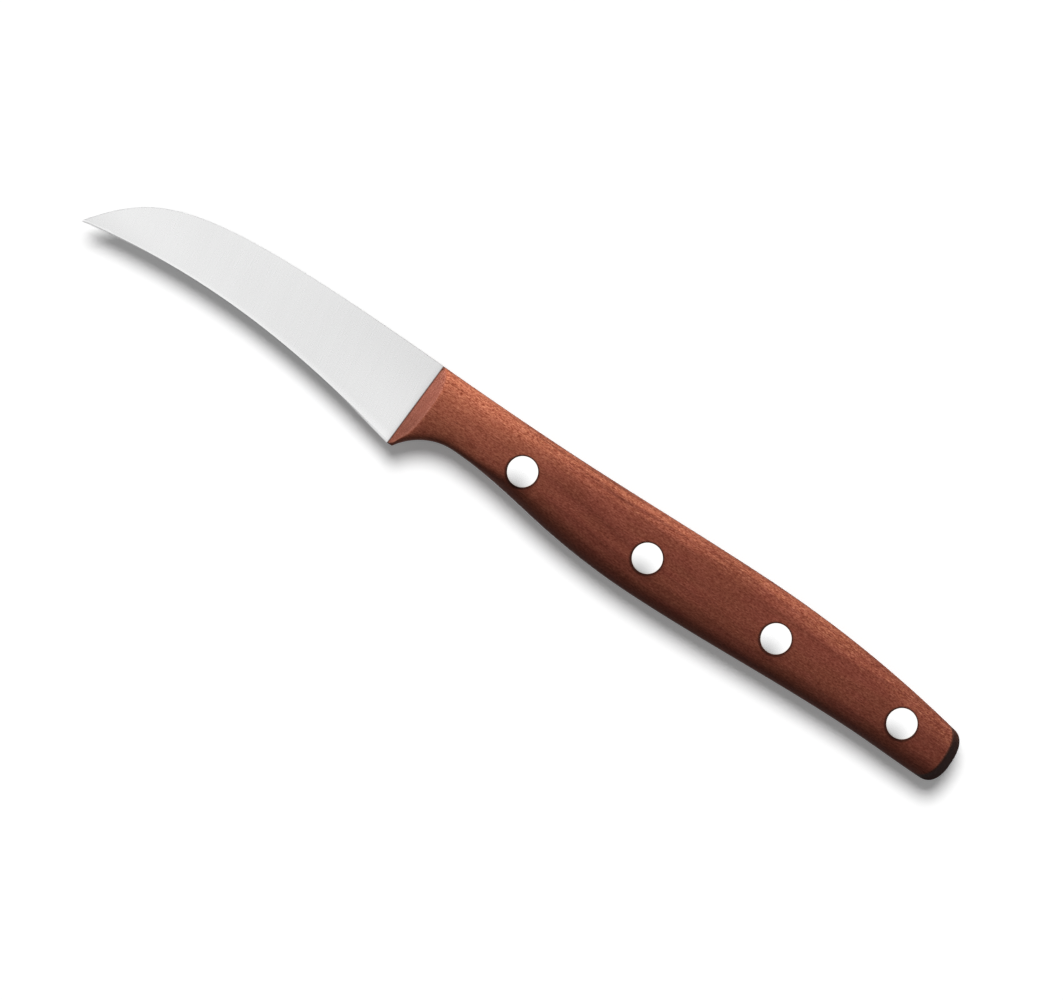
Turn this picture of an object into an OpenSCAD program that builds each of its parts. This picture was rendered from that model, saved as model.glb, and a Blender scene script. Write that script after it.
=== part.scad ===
// Bird's beak paring knife, in millimetres.
// A steel blade with a full tang is held between two wooden scales by four pins.
// The knife lies on its side: +X runs from the tip to the butt, +Y from the edge
// to the spine and +Z up. Heights are given from the line of the rivets, lengths
// from the front of the handle. The drawing is moved to the middle only at the end.

/* [Blade] */
// Front of the handle to the tip
blade_len = 66; // [56:0.5:76]
// Height of the tip
tip_y = -5.7; // [-9:0.1:-3]
// Blunt height of the tip itself
tip_h = 0.3; // [0.2:0.05:0.8]
// Thickness of the sheet: tang and heel of the blade
steel_t = 1.5; // [1.2:0.1:2]
// Thickness of the spine at the tip
tip_t = 0.5; // [0.4:0.1:1]
// Thickness just above the cutting bevel
edge_t = 0.3; // [0.15:0.05:0.4]
// Height of the cutting bevel
bevel_h = 0.4; // [0.2:0.1:0.8]
// How far the spine runs straight on from the handle before it bends
spine_heel_arm = 50.5; // [40:0.5:54]
// Rise of the spine as it leaves the handle, in degrees
spine_heel_angle = 1.6; // [0:0.1:3]
// Strength of the spine's bend at the tip
spine_tip_arm = 15.5; // [12:0.5:20]
// Slope of the spine at the tip, in degrees
spine_tip_angle = 52; // [48:1:60]
// How far the edge keeps its direction at the heel
edge_heel_arm = 14; // [10:0.5:20]
// Slope of the edge at the heel, in degrees
edge_heel_angle = 11.8; // [9:0.1:15]
// How far the edge keeps its direction at the tip
edge_tip_arm = 30; // [22:0.5:34]
// Slope of the edge at the tip, in degrees
edge_tip_angle = 10.2; // [7:0.1:14]

/* [Handle outline] */
// Length of the handle on the rivet line
handle_len = 112; // [108:0.5:120]
// Slant of the front line, sideways travel for each unit of height
front_slant = 0.055; // [0:0.005:0.1]
// Top corner at the blade
top_front_y = 7.95; // [7:0.05:9]
// Slope of the back at the blade
top_front_slope = -0.03; // [-0.06:0.005:0]
// Place of the slight dip of the back, behind the blade
top_dip_x = 26; // [18:0.5:34]
// Height of the back at the dip
top_dip_y = 7.55; // [7:0.05:8.5]
// Highest place of the back, measured from the butt
top_crest_from_butt = 44; // [36:0.5:52]
// Height of the back there
top_crest_y = 8.2; // [7.5:0.05:9]
// Height at which the back meets the rounded butt
top_butt_y = 4.25; // [3:0.1:5.5]
// Slope of the back at the butt
top_butt_slope = -0.2; // [-0.3:0.01:-0.1]
// Lower corner at the heel of the blade
heel_y = -8.6; // [-9.5:0.1:-8]
// Place of the neck, the narrowest part of the handle
neck_x = 9.4; // [8.5:0.1:10]
// Height of the finger side at the neck
neck_y = -3.4; // [-3.8:0.1:-3]
// Radius of the hollow between heel and neck
neck_r = 10.2; // [9.5:0.1:11]
// Where the finger side runs steepest from the neck to the belly
swell_x = 27.3; // [24:0.1:32]
// Height of the finger side there
swell_y = -5.45; // [-6:0.05:-4.8]
// Slope of the finger side there
swell_slope = -0.165; // [-0.2:0.005:-0.12]
// Lowest place of the belly
belly_x = 48.6; // [44:0.1:58]
// Height of the belly
belly_y = -7.25; // [-8:0.1:-6.5]
// Slight waist before the butt, measured from the butt
waist_from_butt = 18; // [10:0.5:28]
// Height of the finger side at the waist
waist_y = -5.8; // [-6.5:0.1:-5]
// Height at which the finger side meets the rounded butt
low_butt_y = -6.1; // [-7:0.1:-5]
// Depth of the rounded butt
butt_round = 3.4; // [2.5:0.1:5]
// Squareness of the rounded butt
butt_power = 2.5; // [2:0.1:4]

/* [Handle section] */
// Thickness of one scale
scale_t = 5.25; // [4.75:0.05:6.5]
// Thickness of one scale at the blade
scale_front_t = 4.9; // [4.25:0.05:5.25]
// Length over which the scale reaches its full thickness
front_run = 16; // [8:0.5:19]
// Middle of the flat land along each scale
land_y = -0.1; // [-0.5:0.1:1]
// Width of the flat land
land_w = 1.8; // [1:0.1:4]
// Squareness of the rounded shoulders
shoulder_power = 2.2; // [1.8:0.1:3]
// Height that the slanted front face leaves at the steel
front_low = 0.6; // [0.3:0.1:1.2]
// Slope of the front face in degrees
front_angle = 56; // [48:1:66]
// Height that the steep butt face leaves at the steel
butt_low = 1.2; // [0.6:0.1:2]
// Length of the butt face in plan
butt_face = 1.7; // [1:0.1:2.5]

/* [Rivets] */
// Place of the first rivet behind the front of the handle
first_rivet_x = 22; // [19.5:0.1:24]
// Place of the last rivet, measured from the butt
last_rivet_from_butt = 11.1; // [9:0.1:14]
// How far each rivet stands off the straight line, as drilled by hand
rivet_up = [0.2, -0.4, 0.25, 0]; // [-0.6:0.05:0.6]
// Diameter of the shank
shank_d = 4.4; // [3.5:0.1:4.8]
// Diameter of the head
head_d = 5.5; // [5.2:0.1:6.2]
// Depth of the straight part of the head
head_h = 1.2; // [0.8:0.1:2]
// Depth of the cone under the head
cone_h = 0.8; // [0.5:0.1:1.5]
// Height of the head's slight dome
dome_h = 0.15; // [0.05:0.01:0.25]
// Clearance all round a rivet in its hole
rivet_fit = 0.02; // [0.01:0.01:0.05]

/* [Hidden] */
rivet_n = 4;
blade_steps = 44;
body_steps = 26;
flare_steps = 8;
shoulder_steps = 9;
dome_steps = 4;
// How far a cut runs past the surface that it leaves.
past = 1;
// Of the tip's thickness, the share left at its bevel.
tip_ground = 0.8;

half_t = steel_t / 2;
full_h = half_t + scale_t;
butt_x = handle_len - butt_round;
top_crest_x = handle_len - top_crest_from_butt;
waist_x = handle_len - waist_from_butt;
rivet_pitch = (handle_len - last_rivet_from_butt - first_rivet_x) / (rivet_n - 1);
lip_x = neck_x - sqrt(neck_r * neck_r - pow(heel_y - neck_y + neck_r, 2));

function mix(a, b, k) = a + (b - a) * k;
function smooth(k) = let (c = min(1, max(0, k))) c * c * (3 - 2 * c);
function bez(a, b, c, d, t) = pow(1 - t, 3) * a + 3 * pow(1 - t, 2) * t * b
    + 3 * (1 - t) * t * t * c + t * t * t * d;
function way(len, angle) = len * [cos(angle), sin(angle)];

// Height of a curve with a given height and slope at both of its ends.
function run(x, x0, y0, s0, x1, y1, s1) =
    let (k = (x - x0) / (x1 - x0), w = x1 - x0)
    mix(y0, y1, smooth(k)) + w * k * (1 - k) * ((1 - k) * s0 - k * s1);

function back(x) =
    x < top_dip_x ? run(x, front(top_front_y), top_front_y, top_front_slope,
        top_dip_x, top_dip_y, 0)
    : x < top_crest_x ? run(x, top_dip_x, top_dip_y, 0, top_crest_x, top_crest_y, 0)
    : run(x, top_crest_x, top_crest_y, 0, butt_x, top_butt_y, top_butt_slope);

function belly(x) =
    x < lip_x ? heel_y
    : x < neck_x ? neck_y - neck_r + sqrt(neck_r * neck_r - pow(x - neck_x, 2))
    : x < swell_x ? run(x, neck_x, neck_y, 0, swell_x, swell_y, swell_slope)
    : x < belly_x ? run(x, swell_x, swell_y, swell_slope, belly_x, belly_y, 0)
    : x < waist_x ? run(x, belly_x, belly_y, 0, waist_x, waist_y, 0)
    : run(x, waist_x, waist_y, 0, butt_x, low_butt_y, 0);

function front(y) = front_slant * y;

// Stations along the handle, 0 at the blade and 1 at the butt. They are close
// together in the hollow behind the heel, and the last two bound the butt face.
stations = concat(
    [0], [for (i = [0:flare_steps]) mix(lip_x, neck_x, i / flare_steps) / butt_x],
    [for (i = [1:body_steps]) mix(neck_x / butt_x, 1 - butt_face / handle_len, i / body_steps)],
    [1]);

function top_x(s) = mix(front(top_front_y), butt_x, s);
function low_x(s) = mix(front(heel_y), butt_x, s);

// Points of one section as [share of the way from the land, height share].
shoulder = [for (i = [0:shoulder_steps]) let (a = 90 * i / shoulder_steps)
    [pow(cos(a), 2 / shoulder_power), pow(sin(a), 2 / shoulder_power)]];
low_land = land_y - land_w / 2;
top_land = land_y + land_w / 2;

function height_at(x) = mix(scale_front_t, scale_t, smooth(x / front_run));

// One point of the scale's outer surface: station s, on the lower or upper shoulder,
// at p of it. The last station follows the rounded butt and is cut to its low wall.
function butt_at(y) =
    let (mid = (top_butt_y + low_butt_y) / 2, half = (top_butt_y - low_butt_y) / 2,
        v = min(1, abs(y - mid) / half))
    butt_x + butt_round * pow(1 - pow(v, butt_power), 1 / butt_power);
function across(s, lower, k) = lower ? mix(low_land, belly(low_x(s)), k)
    : mix(top_land, back(top_x(s)), k);
function scale_point(s, lower, p) =
    let (y = across(s, lower, p[0]),
        y_end = across(1, lower, p[0]),
        x = mix(front(y), butt_at(y_end), s),
        h = height_at(x) * p[1])
    [x, y, s == 1 ? min(h, butt_low) : h];

function ring_top(s) = concat(
    [for (p = shoulder) scale_point(s, true, p)],
    [for (i = [shoulder_steps:-1:0]) scale_point(s, false, shoulder[i])]);
ring_n = 2 * (shoulder_steps + 1);

// Skin between neighbouring rows of n points, each row joined to the next.
function skin(rows, n, closed) = [for (i = [0:rows - 2]) for (k = [0:closed ? n - 1 : n - 2])
    let (a = i * n + k, b = i * n + (k + 1) % n) each [[a, b, a + n], [b, b + n, a + n]]];

// The plan of the handle, shared by the tang.
butt = ring_top(1);
plan = concat(
    [for (s = stations) if (s < 1) [top_x(s), back(top_x(s))]],
    [for (i = [ring_n - 1:-1:0]) [butt[i][0], butt[i][1]]],
    [for (i = [len(stations) - 2:-1:0]) [low_x(stations[i]), belly(low_x(stations[i]))]]);

// Outline of the blade: spine and edge both run from the handle to the tip.
spine_a = [front(top_front_y), top_front_y];
spine_d = [-blade_len, tip_y + tip_h];
edge_a = [front(heel_y), heel_y];
edge_d = [-blade_len, tip_y];
function spine(t) = bez(spine_a, spine_a + way(spine_heel_arm, 180 - spine_heel_angle),
    spine_d + way(spine_tip_arm, spine_tip_angle), spine_d, t);
function edge(t) = bez(edge_a, edge_a + way(edge_heel_arm, 180 - edge_heel_angle),
    edge_d + way(edge_tip_arm, edge_tip_angle), edge_d, t);

// One section of the blade, ground flat from the spine to the bevel. The grind ends
// square at the front of the handle, where the tang keeps its full thickness.
function blade_ring(t) =
    let (s = spine(t), e = edge(t), w = norm(s - e),
        a = e + (s - e) / w * min(bevel_h, w / 3),
        hs = mix(half_t, tip_t / 2, smooth(t)),
        ha = mix(edge_t / 2, min(edge_t, tip_t) / 2 * tip_ground, t))
    [[s[0], s[1], hs], [a[0], a[1], ha], [e[0], e[1], 0], [a[0], a[1], -ha], [s[0], s[1], -hs]];
blade_ts = [for (i = [0:blade_steps]) pow(i / blade_steps, 1.5)];

// Middle of the finished outline, so that the part is centred on its box.
all_y = concat([for (t = blade_ts) spine(t)[1]], [for (t = blade_ts) edge(t)[1]],
    [for (p = plan) p[1]]);
mid_x = (handle_len - blade_len) / 2;
mid_y = (max(all_y) + min(all_y)) / 2;

module lay_down() translate([-mid_x, -mid_y, full_h]) children();

// Half of a pin's outline, grown by a clearance: shank, cone, head and dome.
function pin_half(fit, end) = concat(
    [[0, 0], [shank_d / 2 + fit, 0], [shank_d / 2 + fit, full_h - head_h - cone_h],
        [head_d / 2 + fit, full_h - head_h]],
    end);
dome = [for (i = [dome_steps:-1:0]) let (k = i / dome_steps)
    [k * head_d / 2, full_h - dome_h * k * k]];

module pin() {
    for (side = [0, 1]) mirror([0, 0, side])
        rotate_extrude($fn = 96) polygon(pin_half(0, dome));
}

module pin_hole() {
    for (side = [0, 1]) mirror([0, 0, side])
        rotate_extrude($fn = 96)
            polygon(pin_half(rivet_fit, [[head_d / 2 + rivet_fit, full_h + past], [0, full_h + past]]));
}

module at_rivet(i) translate([first_rivet_x + i * rivet_pitch, rivet_up[i], 0]) children();
module pin_holes() for (i = [0:rivet_n - 1]) at_rivet(i) pin_hole();

module blade() color([0.80, 0.81, 0.83]) lay_down() difference() {
    union() {
        polyhedron([for (t = blade_ts) each blade_ring(t)],
            concat(skin(blade_steps + 1, 5, true), [[4, 3, 2, 1, 0]],
                [[for (k = [0:4]) blade_steps * 5 + k]]), convexity = 6);
        translate([0, 0, -half_t]) linear_extrude(steel_t) polygon(plan);
    }
    pin_holes();
}

// One scale: the outer skin, the flat front and inner faces and the low wall of the
// butt, then the slanted cut at the front and the rivets' holes.
module scale_shape() {
    last = (len(stations) - 1) * ring_n;
    foot = last + ring_n;
    under = concat([last], [for (k = [0:ring_n - 3]) foot + k], [last + ring_n - 1]);
    front_cut = top_front_y - heel_y + 2 * past;
    difference() {
        translate([0, 0, half_t]) polyhedron(
            concat([for (s = stations) each ring_top(s)],
                [for (k = [1:ring_n - 2]) [butt[k][0], butt[k][1], 0]]),
            concat(skin(len(stations), ring_n, false),
                [[for (k = [ring_n - 1:-1:0]) k]],
                [for (i = [0:ring_n:last - ring_n]) [i, i + ring_n, i + 2 * ring_n - 1, i + ring_n - 1]],
                [for (k = [0:ring_n / 2 - 2])
                    [under[k], under[k + 1], under[ring_n - 2 - k], under[ring_n - 1 - k]]],
                [[last, last + 1, under[1]], [under[ring_n - 2], last + ring_n - 2, last + ring_n - 1]],
                [for (k = [1:ring_n - 3]) [under[k], last + k, last + k + 1, under[k + 1]]]),
            convexity = 6);
        multmatrix([[1, front_slant, 0, 0], [0, 1, 0, 0], [0, 0, 1, half_t + front_low]])
            rotate([0, -front_angle, 0]) translate([-past, heel_y - past, 0]) cube(front_cut);
        pin_holes();
    }
}

module scale_upper() color([0.52, 0.30, 0.22]) lay_down() scale_shape();
module scale_lower() color([0.52, 0.30, 0.22]) lay_down() mirror([0, 0, 1]) scale_shape();

module rivet(i) color([0.90, 0.90, 0.91]) lay_down() at_rivet(i) pin();
module rivet_1() rivet(0);
module rivet_2() rivet(1);
module rivet_3() rivet(2);
module rivet_4() rivet(3);

blade();
scale_upper();
scale_lower();
rivet_1();
rivet_2();
rivet_3();
rivet_4();
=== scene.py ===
# %% [markdown]
# # A bird's beak paring knife, dressed for the camera
#
# The solids of this knife are already drawn and packed: a blade with a full tang, two
# wooden scales and four pins. They have the right size and place, but they are made of
# flat facets and one plain colour each. In this lesson we load them as a fixed frame and
# build, piece by piece, the fine surfaces that a buyer sees: ground and polished steel,
# oiled plum wood and aluminium pins.
#
# The knife lies on its side. +X runs from the tip to the butt, +Y from the edge to the
# spine and +Z up. Blender works in metres, while a cutler works in millimetres, so we
# draw in millimetres and convert once, when a mesh is made.

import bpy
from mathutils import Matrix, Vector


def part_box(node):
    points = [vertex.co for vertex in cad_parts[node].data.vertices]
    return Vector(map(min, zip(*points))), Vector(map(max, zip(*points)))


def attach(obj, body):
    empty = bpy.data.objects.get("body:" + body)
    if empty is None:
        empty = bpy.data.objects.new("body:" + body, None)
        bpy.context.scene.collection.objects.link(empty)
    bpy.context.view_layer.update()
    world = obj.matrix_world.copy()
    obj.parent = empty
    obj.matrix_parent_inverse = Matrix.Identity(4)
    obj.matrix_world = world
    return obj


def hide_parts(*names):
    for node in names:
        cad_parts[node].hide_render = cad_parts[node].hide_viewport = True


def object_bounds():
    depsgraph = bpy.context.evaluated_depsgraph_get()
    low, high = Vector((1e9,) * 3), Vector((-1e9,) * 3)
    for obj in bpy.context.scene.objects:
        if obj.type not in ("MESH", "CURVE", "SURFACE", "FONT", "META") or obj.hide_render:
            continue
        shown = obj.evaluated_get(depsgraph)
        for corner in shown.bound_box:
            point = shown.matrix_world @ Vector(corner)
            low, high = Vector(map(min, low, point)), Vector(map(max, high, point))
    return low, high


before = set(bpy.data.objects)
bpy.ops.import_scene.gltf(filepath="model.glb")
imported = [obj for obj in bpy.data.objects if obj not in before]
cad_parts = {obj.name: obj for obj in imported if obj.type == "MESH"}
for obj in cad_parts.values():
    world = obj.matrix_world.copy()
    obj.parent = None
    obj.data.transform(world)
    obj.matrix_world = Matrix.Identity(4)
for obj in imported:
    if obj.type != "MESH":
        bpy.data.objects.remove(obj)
cad_low, cad_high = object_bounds()
print("nodes:", sorted(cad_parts))
print("size in mm:", [round((b - a) * 1000, 2) for a, b in zip(cad_low, cad_high)])

# %% The tools of this lesson
import math

import bmesh
import bpy
import numpy as np
from mathutils import Vector

# %% [markdown]
# ## From the drawing to the frame
#
# All outlines below are measured from two lines on the real knife: lengths from the front
# of the handle, heights from the line along which the pins are drilled. Thickness is
# measured from the middle of the steel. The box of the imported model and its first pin
# tell where these lines are in the frame, so nothing has to be fitted by eye. The pins
# are drilled by hand, and each stands a little above or below its line.

# %% Where the drawing lies
MM = 0.001
blade_len = 66.0
rivet_n = 4
first_rivet_x = 22.0
rivet_up = [0.2, -0.4, 0.25, 0.0]
first_low, first_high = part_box("rivet_1")
last_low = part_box("rivet_4")[0]
first_mid = (first_low + first_high) / 2
rivet_pitch = (last_low.x - first_low.x) / (rivet_n - 1) / MM
shift = np.array([cad_low.x / MM + blade_len, first_mid.y / MM - rivet_up[0], first_mid.z / MM])
rivet_places = [(first_rivet_x + i * rivet_pitch, up) for i, up in enumerate(rivet_up)]


def place(points):
    """Turns points of the drawing, in millimetres, into points of the frame, in metres."""
    return (np.asarray(points, float) + shift) * MM


print("drawing moved by", shift.round(3), "mm, pins", round(rivet_pitch, 3), "mm apart")

# %% A few curves that every piece needs


def mix(a, b, k):
    return a + (b - a) * k


def smooth(k):
    k = np.clip(k, 0, 1)
    return k * k * (3 - 2 * k)


def smooth_min(a, b, k):
    """The lower of two heights. Nearer to each other than k, they blend without a crease."""
    h = np.maximum(k - np.abs(a - b), 0) / k
    return np.minimum(a, b) - h * h * k / 4


def run(x, x0, y0, slope0, x1, y1, slope1):
    """Height of a curve with a given height and slope at both of its ends."""
    k, w = (x - x0) / (x1 - x0), x1 - x0
    return mix(y0, y1, smooth(k)) + w * k * (1 - k) * ((1 - k) * slope0 - k * slope1)


def bezier(a, b, c, d, t):
    t = np.asarray(t)[:, None]
    return (1 - t) ** 3 * a + 3 * (1 - t) ** 2 * t * b + 3 * (1 - t) * t**2 * c + t**3 * d


def way(length, degrees):
    """A step of a length in a direction."""
    return length * np.array([math.cos(math.radians(degrees)), math.sin(math.radians(degrees))])


# %% Turning points and faces into a mesh


def make_object(name, points, faces, sharp_degrees):
    """A finished mesh object at the origin, with its faces turned outwards."""
    mesh = bpy.data.meshes.new(name)
    mesh.from_pydata(place(points).tolist(), [], faces)
    work = bmesh.new()
    work.from_mesh(mesh)
    bmesh.ops.remove_doubles(work, verts=work.verts, dist=0.0005 * MM)
    bmesh.ops.dissolve_degenerate(work, edges=work.edges, dist=0.0005 * MM)
    bmesh.ops.recalc_face_normals(work, faces=work.faces)
    if work.calc_volume(signed=True) < 0:
        bmesh.ops.reverse_faces(work, faces=work.faces)
    open_edges = sum(1 for e in work.edges if not e.is_manifold)
    work.to_mesh(mesh)
    volume = work.calc_volume(signed=True) / MM**3
    work.free()
    mesh.shade_smooth()
    mesh.set_sharp_from_angle(angle=math.radians(sharp_degrees))
    made = bpy.data.objects.new(name, mesh)
    bpy.context.scene.collection.objects.link(made)
    print(name, len(mesh.polygons), "faces,", open_edges, "open edges,", round(volume), "mm3")
    return made


# %% [markdown]
# ## The outline of the handle
#
# A maker saws the handle from a pattern: a nearly straight back, a hollow behind the heel
# of the blade that takes the finger, a belly that fills the palm, and a rounded butt. Each
# stretch is a short curve with a height and a slope at its ends, so that neighbours meet
# without a kink. The hollow is an arc, as a sanding drum leaves it.

# %% Pattern of the handle
handle_len, front_slant = 112.0, 0.055
top_front_y, top_front_slope = 7.95, -0.03
top_dip_x, top_dip_y = 26.0, 7.55
top_crest_x, top_crest_y = handle_len - 44.0, 8.2
top_butt_y, top_butt_slope = 4.25, -0.2
heel_y = -8.6
neck_x, neck_y, neck_r = 9.4, -3.4, 10.2
swell_x, swell_y, swell_slope = 27.3, -5.45, -0.165
belly_x, belly_y = 48.6, -7.25
waist_x, waist_y = handle_len - 18.0, -5.8
low_butt_y = -6.1
butt_round, butt_power = 3.4, 2.5
butt_x = handle_len - butt_round
butt_middle, butt_half = (top_butt_y + low_butt_y) / 2, (top_butt_y - low_butt_y) / 2
lip_x = neck_x - math.sqrt(neck_r**2 - (heel_y - neck_y + neck_r) ** 2)


def front(y):
    return front_slant * y


def back(x):
    """Height of the back of the handle at a length along it."""
    near = run(x, front(top_front_y), top_front_y, top_front_slope, top_dip_x, top_dip_y, 0)
    middle = run(x, top_dip_x, top_dip_y, 0, top_crest_x, top_crest_y, 0)
    far = run(x, top_crest_x, top_crest_y, 0, butt_x, top_butt_y, top_butt_slope)
    return np.where(x < top_dip_x, near, np.where(x < top_crest_x, middle, far))


def belly(x):
    """Height of the finger side of the handle at a length along it."""
    hollow = neck_y - neck_r + np.sqrt(np.maximum(neck_r**2 - (x - neck_x) ** 2, 0))
    swell = run(x, neck_x, neck_y, 0, swell_x, swell_y, swell_slope)
    palm = run(x, swell_x, swell_y, swell_slope, belly_x, belly_y, 0)
    rear = run(x, belly_x, belly_y, 0, waist_x, waist_y, 0)
    end = run(x, waist_x, waist_y, 0, butt_x, low_butt_y, 0)
    return np.select([x < lip_x, x < neck_x, x < swell_x, x < belly_x, x < waist_x],
                     [heel_y, hollow, swell, palm, rear], end)


def top_x(s):
    return mix(front(top_front_y), butt_x, s)


def low_x(s):
    return mix(front(heel_y), butt_x, s)


def butt_at(y):
    """Length of the rounded butt at a height."""
    v = np.minimum(1, np.abs(y - butt_middle) / butt_half)
    return butt_x + butt_round * (1 - v**butt_power) ** (1 / butt_power)


print("handle", handle_len, "mm, neck", round(float(back(neck_x) - neck_y), 1), "mm high")

# %% [markdown]
# ## The blade and its tang
#
# The blade is stamped from sheet steel together with the tang. Then it is ground flat from
# a thick spine to a thin edge, drawn thinner towards the hooked tip, and honed to a small
# bevel. No face is ground steeper than a few hundredths, so the narrow tip ends up thin.
# The grind ends square at the handle, where the tang keeps its full thickness. We build it
# the way a lofting tool would: one ring of points after another, each a cross-section,
# first from the tip to the handle along two Bezier curves, then on through the handle as a
# plate of even thickness. One skin over all the rings gives a closed body.

# %% Outline of the blade
steel_t, tip_t, edge_t = 1.5, 0.5, 0.3
bevel_h = 0.4
tip_y, tip_h = -5.7, 0.3
half_t = steel_t / 2

spine_a = np.array([front(top_front_y), top_front_y])
spine_d = np.array([-blade_len, tip_y + tip_h])
edge_a = np.array([front(heel_y), heel_y])
edge_d = np.array([-blade_len, tip_y])
spine_b, spine_c = spine_a + way(50.5, 180 - 1.6), spine_d + way(15.5, 52)
edge_b, edge_c = edge_a + way(14, 180 - 11.8), edge_d + way(30, 10.2)


def spine(t):
    """The blade's back, from the handle at t = 0 to the tip at t = 1."""
    return bezier(spine_a, spine_b, spine_c, spine_d, t)


def edge(t):
    """The cutting edge, from the heel at t = 0 to the tip at t = 1."""
    return bezier(edge_a, edge_b, edge_c, edge_d, t)


# %% Cross-sections of the blade
blade_steps, tang_steps, butt_steps = 240, 150, 16
eased, tang_eased = 0.05, 0.04
face_shares = [0, 0.15, 0.3, 0.45, 0.6, 0.75, 0.9, 1]
tip_crowding = 1.5
nose, nose_cut = 0.985, 0.8
tip_ground, tip_slope, tip_blend = 0.8, 0.025, 0.12


def blade_rings():
    """Rings from the tip to the handle, each from the spine to the edge and back."""
    t = (np.arange(blade_steps, -1, -1) / blade_steps) ** tip_crowding
    s, e = spine(t), edge(t)
    width = np.linalg.norm(s - e, axis=1)[:, None]
    down = (e - s) / width
    bevel = np.minimum(bevel_h, width / 3)
    blunt = np.sqrt(1 - nose_cut * np.clip((t - nose) / (1 - nose), 0, 1) ** 2)
    spine_half = mix(half_t, tip_t / 2, smooth(t)) * blunt
    bevel_half = mix(edge_t / 2, min(edge_t, tip_t) / 2 * tip_ground, t) * blunt
    steepest = mix(2 * tip_slope, tip_slope, t)
    spine_half = smooth_min(spine_half, bevel_half + steepest * width[:, 0], tip_blend)
    corner = np.minimum(eased, width / 4)
    rows = [(s, spine_half - np.minimum(eased, spine_half / 2))]
    for share in face_shares:
        way_down = mix(corner, width - bevel, share)
        half = mix(spine_half, bevel_half, (way_down / (width - bevel))[:, 0])
        rows.append((s + down * way_down, half))
    rows.append((e - down * bevel / 2, bevel_half / 2))
    rows.append((e, np.zeros(len(t))))
    return rows


def tang_rings():
    """Rings through the handle, on to the end of the rounded butt."""
    s = np.arange(tang_steps + 1) / tang_steps
    turn = np.radians(np.arange(1, butt_steps + 1) * 90 / butt_steps)
    end_x = butt_x + butt_round * np.sin(turn) ** (2 / butt_power)
    reach = butt_half * np.abs(np.cos(turn)) ** (2 / butt_power)
    top = np.concatenate([np.stack([top_x(s), back(top_x(s))], 1),
                          np.stack([end_x, butt_middle + reach], 1)])
    low = np.concatenate([np.stack([low_x(s), belly(low_x(s))], 1),
                          np.stack([end_x, butt_middle - reach], 1)])
    width = np.maximum(np.linalg.norm(top - low, axis=1)[:, None], 1e-6)
    down = (low - top) / width
    corner = np.minimum(tang_eased, width / 4)
    full = np.full(len(top), half_t)
    rows = [(top, full - tang_eased)]
    for share in face_shares:
        rows.append((top + down * mix(corner, width - corner, share), full))
    rows.append((low, full - tang_eased))
    rows.append((low, np.zeros(len(top))))
    return rows


# %% Skin over the rings


def blade_mesh():
    rows = [(np.concatenate([a[0], b[0]]), np.concatenate([a[1], b[1]]))
            for a, b in zip(blade_rings(), tang_rings())]
    upper = [np.column_stack([xy, z]) for xy, z in rows]
    lower = [np.column_stack([xy, -z]) for xy, z in rows[-2::-1]]
    rings = np.stack(upper + lower, axis=1)
    count, size = rings.shape[:2]
    faces = [[i * size + k, i * size + (k + 1) % size, (i + 1) * size + (k + 1) % size,
              (i + 1) * size + k] for i in range(count - 1) for k in range(size)]
    faces.append(list(range(size)))
    faces.append([(count - 1) * size + k for k in range(size)])
    return rings.reshape(-1, 3), faces


blade = make_object("knife_blade", *blade_mesh(), sharp_degrees=14)

# %% [markdown]
# ## Drilling the tang
#
# The tang is drilled for the pins before the scales go on. The holes are round and few, so
# a Boolean with one cutter for all four is the plainest way. The cutter is deleted once
# its work is baked into the mesh.

# %% Four holes for the pins
shank_d, rivet_fit = 4.4, 0.02
full_h = float(first_high.z - first_mid.z) / MM


def drill(piece, radius, depth, sides=64):
    cutter = bpy.data.meshes.new("drill")
    work = bmesh.new()
    for x, y in rivet_places:
        rod = bmesh.ops.create_cone(work, cap_ends=True, segments=sides, radius1=radius * MM,
                                    radius2=radius * MM, depth=depth * MM)
        bmesh.ops.translate(work, verts=rod["verts"], vec=place([[x, y, 0]])[0])
    work.to_mesh(cutter)
    work.free()
    tool = bpy.data.objects.new("drill", cutter)
    bpy.context.scene.collection.objects.link(tool)
    cut = piece.modifiers.new("drill", "BOOLEAN")
    cut.operation, cut.solver, cut.object = "DIFFERENCE", "EXACT", tool
    seen = piece.evaluated_get(bpy.context.evaluated_depsgraph_get())
    drilled = bpy.data.meshes.new_from_object(seen)
    piece.modifiers.clear()
    piece.data = drilled
    bpy.data.objects.remove(tool)
    print(piece.name, "drilled,", len(drilled.polygons), "faces")


drill(blade, shank_d / 2 + rivet_fit, 2 * steel_t)

# %% [markdown]
# ## The surface of a scale
#
# Each scale starts as a flat board and is shaped on a belt: a flat land along the middle,
# round shoulders down to the steel, a slanted face where it meets the blade and a short
# steep face at the butt. The drum that cuts the finger's hollow leaves the lower shoulder
# fuller there: squarer at its edge and a little crowned above it. Over its plan the scale
# has only one height at each place, so we describe it as a height field. Where two of
# these faces meet, a smooth minimum takes the lower of the two and rounds the crease a
# little, as sandpaper does.

# %% Section of a scale
scale_t, scale_front_t, front_run = 5.25, 4.9, 16.0
land_middle, land_half = -0.1, 0.9
low_land, top_land = land_middle - land_half, land_middle + land_half
neck_start, neck_rise = 1.0, 3.5
neck_end, neck_fade, neck_raise = 9.0, 12.0, 1.5
shoulder_power, neck_power, neck_crown = 2.2, 6.5, 0.16
wood_inset = 0.04


def before_swell(x):
    """1 over the finger's hollow, fading to 0 where the handle swells."""
    return 1 - smooth((x - neck_end) / neck_fade)


def land_from(s):
    """Lower rim of the flat land. It rises over the finger's hollow."""
    return low_land + neck_raise * before_swell(s * handle_len)


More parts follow.
